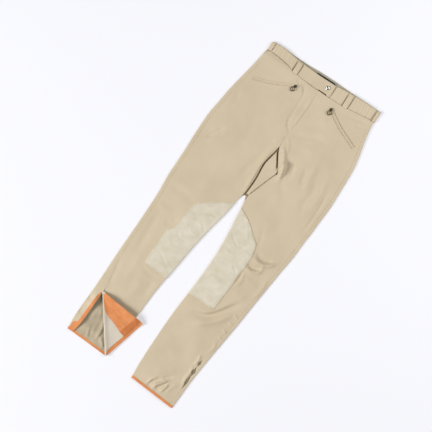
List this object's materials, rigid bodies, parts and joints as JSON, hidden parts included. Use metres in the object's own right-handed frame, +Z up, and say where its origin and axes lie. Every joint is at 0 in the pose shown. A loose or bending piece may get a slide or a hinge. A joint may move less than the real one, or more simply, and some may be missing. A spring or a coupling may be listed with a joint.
{
  "type": "riding breeches",
  "caption": "Full-length riding breeches laid flat: waistband with loops and a snap tab, slanting zip pockets, crotch gusset, suede knee patches, knitted hem bands and an opened cuff.",
  "frame": {"origin": "middle of the underside of the box around the laid-out garment, on the surface it rests on", "axes": "+Y from the hems to the waist; +X across the waist towards the wearer's left; +Z up, out of the garment's front"},
  "size_m": [0.4424, 1.0326, 0.0128],
  "materials": {
    "twill": "beige stretch-cotton twill, matt",
    "suede": "pale grey-green synthetic suede, matt nap",
    "knit": "orange fine knit, matt",
    "label": "plain black woven label",
    "nickel": "bright nickel plate",
    "antique_brass": "darkened brass, satin"
  },
  "bodies": {
    "garment": {"back_panel_right": "twill", "back_panel_left": "twill", "front_panel_right": "twill", "front_panel_left": "twill", "crotch_gusset": "twill", "knee_patch_right": "suede", "knee_patch_left": "suede", "waistband_back": "twill", "waistband_front_right": "twill", "waistband_front_left": "twill", "belt_loop_front_right": "twill", "belt_loop_front_left": "twill", "belt_loop_side_right": "twill", "belt_loop_side_left": "twill", "waist_label": "label", "waist_snap": "nickel", "pocket_welt_right": "twill", "pocket_welt_left": "twill", "zip_slider_right": "antique_brass", "zip_slider_left": "antique_brass", "hem_band_right_front": "knit", "hem_band_right_back": "knit", "hem_band_left_front": "knit", "hem_band_left_back": "knit", "vent_facing_right": "knit", "vent_binding_right": "knit"},
    "pull_right": {"zip_pull_right": "antique_brass"},
    "pull_left": {"zip_pull_left": "antique_brass"}
  },
  "joints": [
    {"name": "pull_right_flip", "type": "hinge", "parent": "garment", "child": "pull_right", "pos_m": [-0.05061, 0.43779, 0.01069], "axis": [-0.9703, 0.2419, 0], "range_deg": [0, 165]},
    {"name": "pull_left_flip", "type": "hinge", "parent": "garment", "child": "pull_left", "pos_m": [0.07086, 0.43775, 0.01069], "axis": [-0.9976, -0.0698, 0], "range_deg": [0, 165]}
  ]
}
